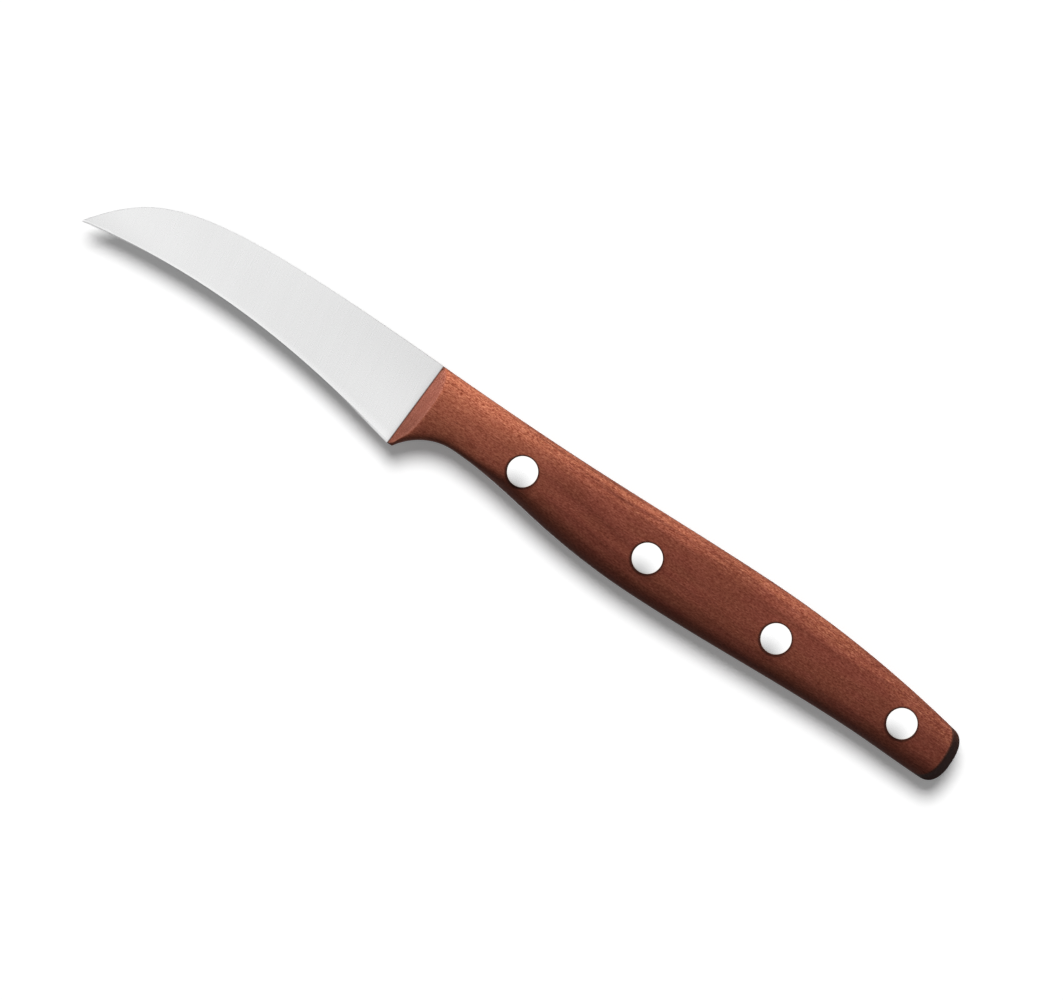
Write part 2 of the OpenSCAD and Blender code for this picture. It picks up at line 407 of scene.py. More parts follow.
def shoulder_at(s, y, k):
    """Share of the full height at k of the way down a shoulder, fuller below the hollow."""
    x = s * handle_len
    hollow = smooth((x - neck_start) / neck_rise) * before_swell(x) * (y < land_from(s))
    power = mix(shoulder_power, neck_power, hollow)
    return (1 - k**power) ** (1 / power) * (1 - neck_crown * hollow * k**2)


def plan_of(s, y_share):
    """Place in plan of station s (0 front, 1 butt), at y_share: -1 low edge, 1 top edge."""
    k = np.abs(y_share)
    upper = y_share > 0
    y = np.where(upper, mix(top_land, back(top_x(s)) - wood_inset, k),
                 mix(land_from(s), belly(low_x(s)) + wood_inset, k))
    end = np.where(upper, mix(top_land, top_butt_y, k), mix(low_land, low_butt_y, k))
    return y, end + 0 * y


def section_of(x, y, rounds=8):
    """Station and share of the shoulder at a place in plan, found in a few rounds."""
    upper = y > top_land
    s = x / handle_len
    for _ in range(rounds):
        top, low = back(top_x(s)) - wood_inset, belly(low_x(s)) + wood_inset
        start = land_from(s)
        land = (y <= top_land) & (y >= start)
        k = np.where(upper, (y - top_land) / (top - top_land), (start - y) / (start - low))
        k = np.where(land, 0, np.clip(k, 0, 1))
        end = np.where(upper, mix(top_land, top_butt_y, k), mix(low_land, low_butt_y, k))
        end = np.where(land, y, end)
        s = (x - front(y) * (1 - s)) / butt_at(end)
    return s, k


# %% Slanted front, steep butt and dished pins
front_low, front_angle = 0.6, 59.0
butt_low, butt_face = 1.2, 1.7
head_d = 5.5
crease_low, crease_top, crease_y, crease_h = 0.3, 1.5, 2.0, 4.0
butt_crease, wall_share = 0.12, 0.4
rim_round, dish_depth, dish_width = 0.12, 0.07, 2.2


def round_off(distance, radius):
    """How far a rounded corner lies below its sharp one, at a distance from the wall."""
    left = np.clip(radius - distance, 0, radius)
    return radius - np.sqrt(radius**2 - left**2)


def ramp_from(value, soft):
    """The value above 0 and 0 below it, with a soft bend between."""
    return np.where(value < -soft, 0, np.where(value > soft, value, (value + soft) ** 2 / (4 * soft)))


def wood_height(x, y):
    """Height of the wood above the steel, and how far each face has cut into it."""
    s, k = section_of(x, y)
    h = mix(scale_front_t, scale_t, smooth(x / front_run)) * shoulder_at(s, y, k)
    for pin_x, pin_y in rivet_places:
        out = np.hypot(x - pin_x, y - pin_y) - head_d / 2
        h = h - dish_depth * (1 - smooth(out / dish_width)) * np.minimum(1, h)
    cut = front_low + (x - front(y)) * math.tan(math.radians(front_angle))
    front_cut = h - cut
    h = smooth_min(h, cut, mix(crease_low, crease_top, smooth((y - crease_y) / crease_h)))
    into = (s - (1 - butt_face / handle_len)) / (butt_face / handle_len)
    h = mix(h, np.minimum(h, butt_low), np.clip(ramp_from(into, butt_crease), 0, 1))
    wall = np.minimum(x - front(y), (1 - s) * handle_len)
    h = h - np.minimum(round_off(wall, rim_round), wall_share * h)
    return np.maximum(h, 0), front_cut, into


# %% [markdown]
# ## Rows and columns
#
# The mesh of a scale is a grid of stations along the handle and shares across it. Stations
# crowd together at the two ends, where the faces are cut, and lie wider apart along the
# palm. A hole in a grid is best made the way a modeller does it: a square window of faces
# is taken out, and rings of quads lead from the square to the circle. So the wood curves
# softly into each hole, and no face is sliced.

# %% Stations and shares
stations = np.concatenate([
    [0, 0.015, 0.04, 0.08, 0.12], np.arange(0.2, 4.6, 0.11), np.arange(4.6, 12, 0.25),
    np.arange(12, 108.6, 0.5), np.arange(108.6, 111.85, 0.11), [111.88, 111.92, 111.96, 111.985, 112],
]) / handle_len
shoulder_steps, land_steps = 26, 7
shoulder_turn = np.radians(np.arange(shoulder_steps + 1) * 90 / shoulder_steps)
shoulder = np.cos(shoulder_turn) ** (2 / shoulder_power)
print(len(stations), "stations,", 2 * shoulder_steps + land_steps + 2, "shares")


def wood_plan():
    """Places in plan of the whole grid: one row a station, one column a share."""
    s = stations[:, None]
    low_y, low_end = plan_of(s, -shoulder[None, :])
    top_y, top_end = plan_of(s, shoulder[None, ::-1])
    across = np.linspace(0, 1, land_steps + 2)[None, 1:-1]
    land = mix(land_from(s), top_land, across)
    y = np.concatenate([low_y, land, top_y], axis=1)
    end = np.concatenate([low_end, mix(low_land, top_land, across) + 0 * s, top_end], axis=1)
    return mix(front(y), butt_at(end), s), y


# %% Rings round a pin
ring_gaps = [0, 0.02, 0.05, 0.085, 0.12, 0.2, 0.4]
ring_shares = [0.4, 0.7]
window = 4.2
head_h, cone_h = 1.2, 0.8


def window_loop(rows, columns):
    """The rim of a square window in the grid, once round."""
    (r0, r1), (c0, c1) = rows, columns
    return ([(r, c0) for r in range(r0, r1)] + [(r1, c) for c in range(c0, c1)]
            + [(r, c1) for r in range(r1, r0, -1)] + [(r0, c) for c in range(c1, c0, -1)])


def window_sides(places, middle):
    """The two steps of the grid that lie nearest to the sides of a window."""
    return [int(np.argmin(np.abs(places - middle - off))) for off in (-window, window)]


def circle_at(rim, centre, radius):
    """The points of a rim, drawn in or out onto a circle."""
    out = rim - centre
    return centre + out / np.linalg.norm(out, axis=1)[:, None] * radius


def height_at(xy):
    return wood_height(xy[:, 0], xy[:, 1])[0]


def grid_faces(rows, columns, gone):
    """Quads of the top and of the underside, but for the windows, and a strip at each end."""
    under = rows * columns
    faces = []
    for r in range(rows - 1):
        for c in range(columns - 1):
            if (r, c) not in gone:
                a = r * columns + c
                quad = [a, a + columns, a + columns + 1, a + 1]
                faces += [quad, [q + under for q in quad]]
    for r in (0, rows - 1):
        faces += [[r * columns + c, r * columns + c + 1, r * columns + c + 1 + under,
                   r * columns + c + under] for c in range(columns - 1)]
    return faces


# %% Building one scale


def scale_mesh(side):
    """Points and faces of one scale. side is 1 for the upper, -1 for the lower."""
    x, y = wood_plan()
    h = wood_height(x, y)[0]
    h[:, 0] = h[:, -1] = 0
    rows, columns = x.shape
    points = [np.column_stack([x.ravel(), y.ravel(), h.ravel()]),
              np.column_stack([x.ravel(), y.ravel(), 0 * h.ravel()])]
    under = rows * columns
    gone, extra_faces, total = set(), [], 2 * under

    def add_ring(xy, heights):
        nonlocal total
        points.append(np.column_stack([xy, np.broadcast_to(heights, len(xy))]))
        total += len(xy)
        return list(range(total - len(xy), total))

    def join(inner, outer):
        for q in range(len(inner)):
            p = (q + 1) % len(inner)
            extra_faces.append([inner[q], outer[q], outer[p], inner[p]])

    hole_r, bore_r = head_d / 2 + rivet_fit, shank_d / 2 + rivet_fit
    seat_z = full_h - head_h
    for centre in rivet_places:
        ends = window_sides(x[:, columns // 2], centre[0])
        sides = window_sides(y[rows // 2], centre[1])
        gone.update((r, c) for r in range(*ends) for c in range(*sides))
        loop = window_loop(ends, sides)
        rim = np.array([[x[r, c], y[r, c]] for r, c in loop])
        top = [r * columns + c for r, c in loop]
        low = [r * columns + c + under for r, c in loop]
        rings = []
        last = circle_at(rim, centre, hole_r + ring_gaps[-1])
        for gap in ring_gaps:
            xy = circle_at(rim, centre, hole_r + gap)
            rings.append(add_ring(xy, height_at(xy) - round_off(gap, rim_round)))
        for share in ring_shares:
            xy = mix(last, rim, share)
            rings.append(add_ring(xy, height_at(xy)))
        for inner, outer in zip(rings, rings[1:] + [top]):
            join(inner, outer)
        wall = rings[0]
        for radius, z in ((hole_r, seat_z), (bore_r, seat_z - cone_h), (bore_r, half_t)):
            deeper = add_ring(circle_at(rim, centre, radius), z - half_t)
            join(wall, deeper)
            wall = deeper
        join(wall, low)
    points = np.concatenate(points)
    points[:, 2] = side * (points[:, 2] + half_t)
    return points, grid_faces(rows, columns, gone) + extra_faces


upper = make_object("wood_scale_upper", *scale_mesh(1), sharp_degrees=50)
lower = make_object("wood_scale_lower", *scale_mesh(-1), sharp_degrees=50)

# %% [markdown]
# ## Marking the cut faces
#
# The belt cuts across the grain at the front and at the butt. End grain looks different,
# and the crease beside it is drawn pale: partly wear, partly a painted highlight where the
# rounded crease catches the light. A lighter band follows the back of the handle: partly a
# lighter tone of the wood, partly a painted highlight on the shoulder that faces the light.
# A thin dark line of painted shade lies in the corner where the wood meets the blade. The
# shader has to know where all that is, so we store it in the mesh: one value a point, which
# a material reads back by name.

# %% Values that the wood's finish reads
back_band_width = 4.4
skin = 0.01
face_soft, face_top, face_fade = 0.5, 9.2, 2.5
line_start, line_width = 0.05, 0.25
corner_y, corner_h, corner_width = 6.8, 0.8, 0.25
butt_steep, butt_start = 8.0, 1.6
# Where the pale crease lies: partly wear, partly a painted highlight.
wear_highlight_at, wear_highlight_width, wear_highlight_top, wear_highlight_fade = 0.3, 0.22, 5.0, 3.0
butt_wear_highlight, butt_wear_highlight_at, butt_wear_highlight_width = 0.5, -0.05, 0.12


def bump_at(value, middle, width):
    """1 at the middle, falling off to both sides."""
    return np.exp(-((value - middle) / width) ** 2)


def points_of(piece):
    """The points of a mesh in the drawing's millimetres, as x, y and z."""
    co = np.empty(len(piece.data.vertices) * 3)
    piece.data.vertices.foreach_get("co", co)
    return (co.reshape(-1, 3) / MM - shift).T


def store(piece, name, values):
    """Keeps one value a point in the mesh."""
    layer = piece.data.attributes.new(name, "FLOAT", "POINT")
    layer.data.foreach_set("value", values.astype(np.float32))


def mark_faces(piece):
    """Stores the marks of one scale in its mesh."""
    x, y, z = points_of(piece)
    front_cut, into = wood_height(x, y)[1:]
    outside = np.abs(z) > half_t + skin
    # The dark front line is painted shade in the corner where the wood meets the blade; it widens
    # towards the top corner.
    corner = corner_width * smooth((y - corner_y) / corner_h)
    cut_face = smooth(front_cut / face_soft + 0.5) * smooth((face_top - y) / face_fade)
    # The pale crease mark is partly wear and partly a painted highlight, where the rounded crease
    # catches the light.
    front_wear_highlight = bump_at(front_cut, wear_highlight_at, wear_highlight_width) * smooth((wear_highlight_top - y) / wear_highlight_fade)
    butt_crease_wear_highlight = butt_wear_highlight * bump_at(into, butt_wear_highlight_at, butt_wear_highlight_width)
    marks = {
        "front_face": cut_face * outside,
        "front_shade_line": (1 - smooth((x - front(y) - line_start - corner) / line_width)) * outside,
        "butt_face": smooth(into * butt_steep + butt_start) * outside,
        # partly a lighter tone of the wood, partly a painted highlight on the shoulder that faces the
        # light
        "back_band_and_highlight": smooth(1 + (y - back(np.minimum(x, butt_x))) / back_band_width),
        "crease_wear_and_highlight": (front_wear_highlight + butt_crease_wear_highlight) * outside,
    }
    for name, values in marks.items():
        store(piece, name, values)
    print(piece.name, "marked:", ", ".join(marks))


for piece in (upper, lower):
    mark_faces(piece)

# %% [markdown]
# ## The pins
#
# The pins are turned from aluminium: a shank, a cone under the head, and a head that is
# peened in its countersunk seat and polished to a low dome. All four are alike, which is
# work for Geometry Nodes. The drilled places are the geometry that goes in, and the outline
# of half a pin is an object that the tree reads. It turns the outline about its axis on a
# grid, sets a copy on each place, gives each its own turn so that the polishing marks
# differ, and makes them real.

# %% Outline of a pin
dome_h, head_round = 0.15, 0.1
dome_points, round_points = 9, 5


def pin_outline():
    """Half a pin from the top of its dome to the bottom one, as radius and height."""
    head_r, shank_r = head_d / 2, shank_d / 2
    flat = head_r - head_round
    upper_half = [(flat * k / dome_points, full_h - dome_h * (k / dome_points) ** 2)
                  for k in range(dome_points + 1)]
    for k in range(1, round_points + 1):
        a = math.radians(90 * k / round_points)
        upper_half.append((flat + head_round * math.sin(a),
                           full_h - dome_h - head_round * (1 - math.cos(a))))
    upper_half += [(head_r, full_h - head_h), (shank_r, full_h - head_h - cone_h)]
    return upper_half + [(r, -z) for r, z in reversed(upper_half)]


outline = pin_outline()
print("pin outline:", len(outline), "points")

# %% Words for building a tree of nodes


def feed(tree, target, value):
    """Gives an input a value of its own, or a link from another socket."""
    if isinstance(value, bpy.types.NodeSocket):
        tree.links.new(value, target)
    else:
        target.default_value = value


def add(tree, kind, links=None, **settings):
    """One node. links sets inputs by name or number, to a value or to another socket."""
    made = tree.nodes.new(kind)
    for name, value in settings.items():
        setattr(made, name, value)
    for key, value in (links or {}).items():
        feed(tree, made.inputs[key], value)
    return made


def calc(tree, operation, a, b=0.0):
    return add(tree, "ShaderNodeMath", {0: a, 1: b}, operation=operation).outputs[0]


def times(tree, a, b):
    return calc(tree, "MULTIPLY", a, b)


def minus(tree, a, b):
    return calc(tree, "SUBTRACT", a, b)


def axes_of(tree, vector):
    """The three parts of a vector, to be read as X, Y and Z."""
    return add(tree, "ShaderNodeSeparateXYZ", {0: vector}).outputs


def socket(tree, name, kind, value=None, direction="INPUT"):
    """A named input or output of a tree."""
    made = tree.interface.new_socket(name, in_out=direction, socket_type=kind)
    if value is not None:
        made.default_value = value
    return made


# %% The tree that turns and repeats the pins
merge_within = 0.001


def pin_tree():
    """Geometry Nodes: an outline turned about its axis and set on each drilled place."""
    tree = bpy.data.node_groups.new("pins on their places", "GeometryNodeTree")
    socket(tree, "Geometry", "NodeSocketGeometry")
    socket(tree, "Outline", "NodeSocketObject")
    socket(tree, "Sides", "NodeSocketInt", 64)
    socket(tree, "Seed", "NodeSocketInt", 1)
    socket(tree, "Metal", "NodeSocketMaterial")
    socket(tree, "Geometry", "NodeSocketGeometry", direction="OUTPUT")
    given = tree.nodes.new("NodeGroupInput").outputs
    drawn = add(tree, "GeometryNodeObjectInfo", {"Object": given["Outline"]}).outputs["Geometry"]
    count = add(tree, "GeometryNodeAttributeDomainSize", {0: drawn}).outputs["Point Count"]
    grid = add(tree, "GeometryNodeMeshGrid", {
        "Size X": 1.0, "Size Y": 1.0, "Vertices X": count,
        "Vertices Y": calc(tree, "ADD", given["Sides"], 1)})
    on_grid = axes_of(tree, grid.outputs["UV Map"])
    step = calc(tree, "ROUND", times(tree, on_grid["X"], minus(tree, count, 1)))
    sample = add(tree, "GeometryNodeSampleIndex", {
        "Geometry": drawn, "Index": step,
        "Value": add(tree, "GeometryNodeInputPosition").outputs[0]}, data_type="FLOAT_VECTOR")
    profile = axes_of(tree, sample.outputs[0])
    angle = times(tree, on_grid["Y"], math.tau)
    turned = add(tree, "ShaderNodeCombineXYZ", {
        "X": times(tree, profile["X"], calc(tree, "COSINE", angle)),
        "Y": times(tree, profile["X"], calc(tree, "SINE", angle)),
        "Z": profile["Z"]}).outputs[0]
    lathed = add(tree, "GeometryNodeSetPosition", {
        "Geometry": grid.outputs["Mesh"], "Position": turned})
    closed = add(tree, "GeometryNodeMergeByDistance", {
        "Geometry": lathed.outputs[0], "Distance": merge_within * MM})
    chance = add(tree, "FunctionNodeRandomValue", {"Seed": given["Seed"]}, data_type="FLOAT")
    own_turn = times(tree, chance.outputs[1], math.tau)
    about_z = add(tree, "ShaderNodeCombineXYZ", {"Z": own_turn}).outputs[0]
    spin = add(tree, "FunctionNodeEulerToRotation", {0: about_z})
    copies = add(tree, "GeometryNodeInstanceOnPoints", {
        "Points": given["Geometry"], "Instance": closed.outputs[0], "Rotation": spin.outputs[0]})
    real = add(tree, "GeometryNodeRealizeInstances", {0: copies.outputs[0]})
    metal = add(tree, "GeometryNodeSetMaterial",
                {"Geometry": real.outputs[0], "Material": given["Metal"]})
    add(tree, "NodeGroupOutput", {0: metal.outputs[0]})
    return tree


# %% [markdown]
# ## Effects that several finishes share
#
# Two effects come back in more than one material. Fine lines are drawn-out noise: fibres
# in the wood, polishing marks on the metals. The ring round a pin is a distance to the
# nearest pin: the wood is dark there from glue and dust, and the metal is worn. Each is
# built once as a node group and placed with its own values.

# %% Group: fine lines


def group_with(name, inputs, outputs):
    tree = bpy.data.node_groups.new(name, "ShaderNodeTree")
    for label, kind, value in inputs:
        socket(tree, label, kind, value)
    for label, kind in outputs:
        socket(tree, label, kind, direction="OUTPUT")
    return tree, tree.nodes.new("NodeGroupInput").outputs


def fine_lines_group():
    """Noise drawn out along X: lines of a given length and width, in millimetres."""
    tree, given = group_with("fine lines", [
        ("Vector", "NodeSocketVector", None), ("Length", "NodeSocketFloat", 10.0),
        ("Width", "NodeSocketFloat", 0.2), ("Contrast", "NodeSocketFloat", 1.0)],
        [("Value", "NodeSocketFloat")])
    across = calc(tree, "DIVIDE", 1.0, given["Width"])
    scale = add(tree, "ShaderNodeCombineXYZ", {
        "X": calc(tree, "DIVIDE", 1.0, given["Length"]), "Y": across, "Z": across})
    drawn = add(tree, "ShaderNodeVectorMath", {0: given["Vector"], 1: scale.outputs[0]},
                operation="MULTIPLY")
    noise = add(tree, "ShaderNodeTexNoise", {"Vector": drawn.outputs[0], "Scale": 1.0, "Detail": 3.0})
    centred = times(tree, minus(tree, noise.outputs[0], 0.5), given["Contrast"])
    value = calc(tree, "ADD", centred, 0.5)
    add(tree, "NodeGroupOutput", {"Value": value})
    return tree


fine_lines = fine_lines_group()

# %% Group: distance to the nearest pin
far_away = 1000.0


def pin_distance_group():
    """Distance in plan from the axis of the nearest pin, in millimetres."""
    tree, given = group_with("nearest pin", [("Vector", "NodeSocketVector", None)],
                             [("Distance", "NodeSocketFloat")])
    flat = add(tree, "ShaderNodeVectorMath", {0: given["Vector"], 1: (1, 1, 0)}, operation="MULTIPLY")
    nearest = far_away
    for x, y, _ in place([(x, y, 0) for x, y in rivet_places]) / MM:
        away = add(tree, "ShaderNodeVectorMath", {0: flat.outputs[0], 1: (x, y, 0)},
                   operation="DISTANCE")
        nearest = calc(tree, "MINIMUM", away.outputs["Value"], nearest)
    add(tree, "NodeGroupOutput", {"Distance": nearest})
    return tree


nearest_pin = pin_distance_group()

# %% Short words for building a material


def new_material(name):
    made = bpy.data.materials.new(name)
    made.use_nodes = True
    shader = made.node_tree.nodes["Principled BSDF"]
    return made, made.node_tree, shader


def in_mm(tree):
    """Object coordinates in millimetres."""
    where = add(tree, "ShaderNodeTexCoord").outputs["Object"]
    return add(tree, "ShaderNodeMapping", {"Vector": where, "Scale": (1 / MM,) * 3}).outputs[0]


def placed(tree, group, **values):
    """A node group put into a material, with its own values."""
    made = tree.nodes.new("ShaderNodeGroup")
    made.node_tree = group
    for name, value in values.items():
        feed(tree, made.inputs[name], value)
    return made.outputs[0]


def inverse(tree, value):
    """1 where a mask is 0, and 0 where it is 1."""
    return minus(tree, 1.0, value)


def ranged(tree, value, low, high, at_low, at_high):
    """at_low where the value is low or less, at_high where it is high or more."""
    return add(tree, "ShaderNodeMapRange", {
        "Value": value, "From Min": low, "From Max": high, "To Min": at_low,
        "To Max": at_high}).outputs[0]


def step_between(tree, value, low, high):
    """0 below low, 1 above high, and a soft step between."""
    return add(tree, "ShaderNodeMapRange", {"Value": value, "From Min": low, "From Max": high},
               interpolation_type="SMOOTHSTEP").outputs[0]


def tint(tree, amount, a, b, mode="MIX"):
    """From colour a at 0 to colour b at 1."""
    made = add(tree, "ShaderNodeMix", {"Factor": amount}, data_type="RGBA", blend_type=mode)
    for name, value in (("A_Color", a), ("B_Color", b)):
        target = next(s for s in made.inputs if s.identifier == name)
        feed(tree, target, (*value, 1) if isinstance(value, tuple) else value)
    return next(s for s in made.outputs if s.identifier == "Result_Color")


def laid(tree, colour, layer, mask, share):
    """A colour with another laid over it by a mask, at a share of the mask's strength."""
    return tint(tree, times(tree, mask, share), colour, layer)


def all_three(tree, value):
    """One value as a grey: the same in red, green and blue."""
    return add(tree, "ShaderNodeCombineXYZ", {"X": value, "Y": value, "Z": value}).outputs[0]


def turned_by(tree, where, degrees):
    """The same place, read on axes that are turned about Z."""
    return add(tree, "ShaderNodeMapping", {
        "Vector": where, "Rotation": (0.0, 0.0, math.radians(degrees))}).outputs[0]


def relief(tree, height, depth_mm, normal=None):
    """A Bump node whose full height is a real depth."""
    made = add(tree, "ShaderNodeBump", {"Height": height, "Strength": 1.0, "Distance": depth_mm * MM})
    if normal is not None:
        tree.links.new(normal, made.inputs["Normal"])
    return made.outputs[0]


def mark(tree, name):
    """A value that was stored in the mesh."""
    return add(tree, "ShaderNodeAttribute", attribute_name=name).outputs["Fac"]


# %% [markdown]
# ## Plum wood
#
# Plum is a dense fruit wood: red-brown, with soft growth rings, faint darker fibres and
# very small pores. A board is cut from a round trunk, so its figure is solid: rings round
# a far-off axis, bent a little by noise. On the face of the handle they show as long bands
# and on its cut ends as arcs, with no seam between, because all of it is read from the
# same place in space. The finish is built layer on layer, and each layer is a function
# that takes the colour below it and gives back the colour with the layer laid on.

# %% Colours of the wood
wood_dark, wood_plain, wood_light = (0.110, 0.027, 0.017), (0.155, 0.039, 0.025), (0.200, 0.055, 0.034)
wood_brown, wood_orange, wood_gold = (0.146, 0.041, 0.023), (0.50, 0.152, 0.083), (0.62, 0.26, 0.13)
# The pale crease colour is partly wear and partly a painted highlight.
front_high, front_deep, wear_and_highlight_colour = (0.325, 0.106, 0.074), (0.222, 0.074, 0.050), (0.40, 0.17, 0.12)
# The butt colour is painted shade for a face that turns from the light. The dark-line colour serves
# both real dirt and painted shade.
butt_painted_shade, dirt_and_shade_colour = (0.022, 0.005, 0.003), (0.030, 0.009, 0.006)

# %% Rings of the trunk
ring_gap, ring_bend, ring_share = 2.6, 3.2, 0.5
heart_y, heart_z, board_slope = -34.0, -20.0, 0.035
drift_scale, patch_scale = (0.018, 0.11, 0.11), (0.09, 0.3, 0.3)
patch_steps, patch_share = (0.42, 0.66), 0.6


def stretched_noise(tree, where, scale, detail):
    drawn = add(tree, "ShaderNodeMapping", {"Vector": where, "Scale": scale}).outputs[0]
    return add(tree, "ShaderNodeTexNoise", {"Vector": drawn, "Scale": 1.0, "Detail": detail}).outputs[0]


def growth_rings(tree, where, at):
    """Soft rings round an axis far below the board."""
    dy = minus(tree, calc(tree, "ADD", at["Y"], times(tree, at["X"], board_slope)), heart_y)
    dz = minus(tree, at["Z"], heart_z)
    radius = calc(tree, "SQRT", calc(tree, "ADD", times(tree, dy, dy), times(tree, dz, dz)))
    drift = stretched_noise(tree, where, drift_scale, detail=2.0)
    phase = calc(tree, "ADD", calc(tree, "DIVIDE", radius, ring_gap), times(tree, drift, ring_bend))
    made = add(tree, "ShaderNodeValToRGB", {0: calc(tree, "FRACT", phase)})
    ramp = made.color_ramp
    ramp.interpolation = "EASE"
    for end in ramp.elements:
        end.color = (*wood_plain, 1)
    for position, colour in ((0.35, wood_light), (0.6, wood_plain), (0.86, wood_dark)):
        ramp.elements.new(position).color = (*colour, 1)
    return made.outputs[0]


def trunk_figure(tree, where, at):
    """The rings, half as strong as they are in fresh wood, and browner patches."""
    colour = tint(tree, ring_share, wood_plain, growth_rings(tree, where, at))
    patches = step_between(tree, stretched_noise(tree, where, patch_scale, detail=3.0), *patch_steps)
    return laid(tree, colour, wood_brown, patches, patch_share)


# %% [markdown]
# ## Lighter and darker parts of the handle
#
# The wood is lighter and more orange in a band that follows the back, and towards the
# blade. The band along the back is partly a lighter tone of the wood and partly a painted
# highlight on the shoulder that faces the light. It is broken up by long streaks and fades
# towards the butt, where hands have darkened the wood. Low at the front, orange is laid over
# the shaded lower shoulder of the neck as painted light. Small golden flecks lie where it is
# light. Wide, soft steps along X and Y do for this, because the real changes have no edges
# either.

# %% Light bands, streaks and the dark butt
band_steps, band_x, band_light = (0.15, 0.7), (-23.0, 80.0), (0.6, 0.26)
ahead_x, ahead_y, ahead_light = (-20.0, 12.0), (-2.5, 4.0), (0.1, 0.36)
low_front_x, low_front_y, low_front_light = (-18.0, -10.0), (-5.2, -2.2), 0.14
fleck_share, fleck_least = 0.3, 0.03
streak_steps, streak_dark = (0.66, 0.86), 0.4
rear_x, rear_dark = (62.0, 86.0), 0.28


def lighter_bands(tree, where, at, colour):
    """Gives back the colour, and how golden the flecks are."""
    streak = placed(tree, fine_lines, Vector=where, Length=13.0, Width=0.9, Contrast=1.2)
    # The band along the back is partly the wood's tone and partly a painted highlight on the shoulder
    # that faces the light.
    band = times(tree, mark(tree, "back_band_and_highlight"), step_between(tree, streak, *band_steps))
    fading = ranged(tree, at["X"], *band_x, *band_light)
    colour = laid(tree, colour, wood_orange, band, fading)
    ahead = times(tree, inverse(tree, step_between(tree, at["X"], *ahead_x)),
                  ranged(tree, at["Y"], *ahead_y, *ahead_light))
    colour = tint(tree, ahead, colour, wood_orange)
    # Painted light: the lower shoulder at the front, which lies in shade, is lightened with orange.
    neck_painted_light = times(tree, inverse(tree, step_between(tree, at["X"], *low_front_x)),
                      inverse(tree, step_between(tree, at["Y"], *low_front_y)))
    colour = laid(tree, colour, wood_orange, neck_painted_light, low_front_light)
    light = times(tree, calc(tree, "ADD", band, ahead), fleck_share)
    return colour, calc(tree, "ADD", light, fleck_least)


def darker_parts(tree, where, at, colour):
    """Thin dark streaks, and the wood towards the butt."""
    lines = placed(tree, fine_lines, Vector=where, Length=11.0, Width=0.35, Contrast=1.3)
    colour = laid(tree, colour, wood_dark, step_between(tree, lines, *streak_steps), streak_dark)
    return laid(tree, colour, wood_dark, step_between(tree, at["X"], *rear_x), rear_dark)


# %% [markdown]
# ## Cut faces and grain
#
# The slanted front shows end grain: pale, and lighter towards the back, with upright
# fibres. The steep face at the butt is painted nearly black, painted shade where it turns
# away from the light. Both have a pale crease, partly wear and partly a painted highlight.
# Over everything lie three sizes of grain, multiplied together. Each swings round 1, so the
# mean colour stays. It is calmer on the lower side and livelier along the back. Red swings
# less than green and blue, as it does in oiled wood.

# %% The two cut faces
front_share, butt_share, wear_and_highlight_share, line_share = 0.88, 0.9, 0.3, 0.75
upright_turn, upright_depth = 87.0, 0.2
front_y = (-5.5, 3.5)


def around_one(tree, value, low, high, depth):
    """Swings from 1 - depth to 1 + depth while the value goes from low to high."""
    return ranged(tree, value, low, high, 1 - depth, 1 + depth)


def cut_faces(tree, where, at, colour):
    """The front face, the butt face in painted shade, the pale creases of wear and painted highlight,
    and a dark line of painted shade beside the steel.
    """
    upright = placed(tree, fine_lines, Vector=turned_by(tree, where, upright_turn),
                     Length=7.0, Width=0.4, Contrast=1.8)
    swing = all_three(tree, around_one(tree, upright, 0, 1, upright_depth))
    cut_face = tint(tree, step_between(tree, at["Y"], *front_y), front_deep, front_high)
    cut_face = tint(tree, 1.0, cut_face, swing, "MULTIPLY")
    # The butt face gets painted shade, the crease is partly wear and partly painted highlight, and the
    # front line is painted shade in the corner by the steel.
    for name, layer, share in (
            ("front_face", cut_face, front_share), ("butt_face", butt_painted_shade, butt_share),
            ("crease_wear_and_highlight", wear_and_highlight_colour, wear_and_highlight_share), ("front_shade_line", dirt_and_shade_colour, line_share)):
        colour = laid(tree, colour, layer, mark(tree, name), share)
    return colour


# %% Grain
mottle_scale, grain_scale, fleck_scale = (1.3, 4.6, 4.6), (2.4, 5.6, 5.6), (1.5, 4.2, 4.2)
fibre_depth, mottle_depth, grain_depth = 0.22, 0.3, 0.38
fibre_span, noise_span = (0, 1), (0.3, 0.7)
calm, lively = 0.8, 1.5
shade_powers = (0.8, 1.2, 1.3)


def grain_shades(tree, where, fibre, mottle):
    """How light each spot is, in red, green and blue."""
    grain = stretched_noise(tree, where, grain_scale, detail=1.0)
    shade = times(tree, around_one(tree, fibre, *fibre_span, fibre_depth),
                  around_one(tree, mottle, *noise_span, mottle_depth))
    shade = times(tree, shade, around_one(tree, grain, *noise_span, grain_depth))
    shade = calc(tree, "POWER", shade, ranged(tree, mark(tree, "back_band_and_highlight"), 0, 1, calm, lively))
    shades = [calc(tree, "POWER", shade, power) for power in shade_powers]
    return add(tree, "ShaderNodeCombineXYZ", dict(zip("XYZ", shades))).outputs[0]


# %% [markdown]
# ## Dirt, painted shadow, relief and gloss
#
# A dark line round each pin is partly glue and dust and partly painted shadow: it is wider
# on the side away from the light, as the shadow of a proud head would be. Another dark line
# lies where the wood meets the steel. Round each pin the wood stands a trace higher, because
# the hard head kept the belt off it. Pores and fibres are so shallow that a Bump node does
# for them, each with its real depth. Oil leaves the wood nearly dull.

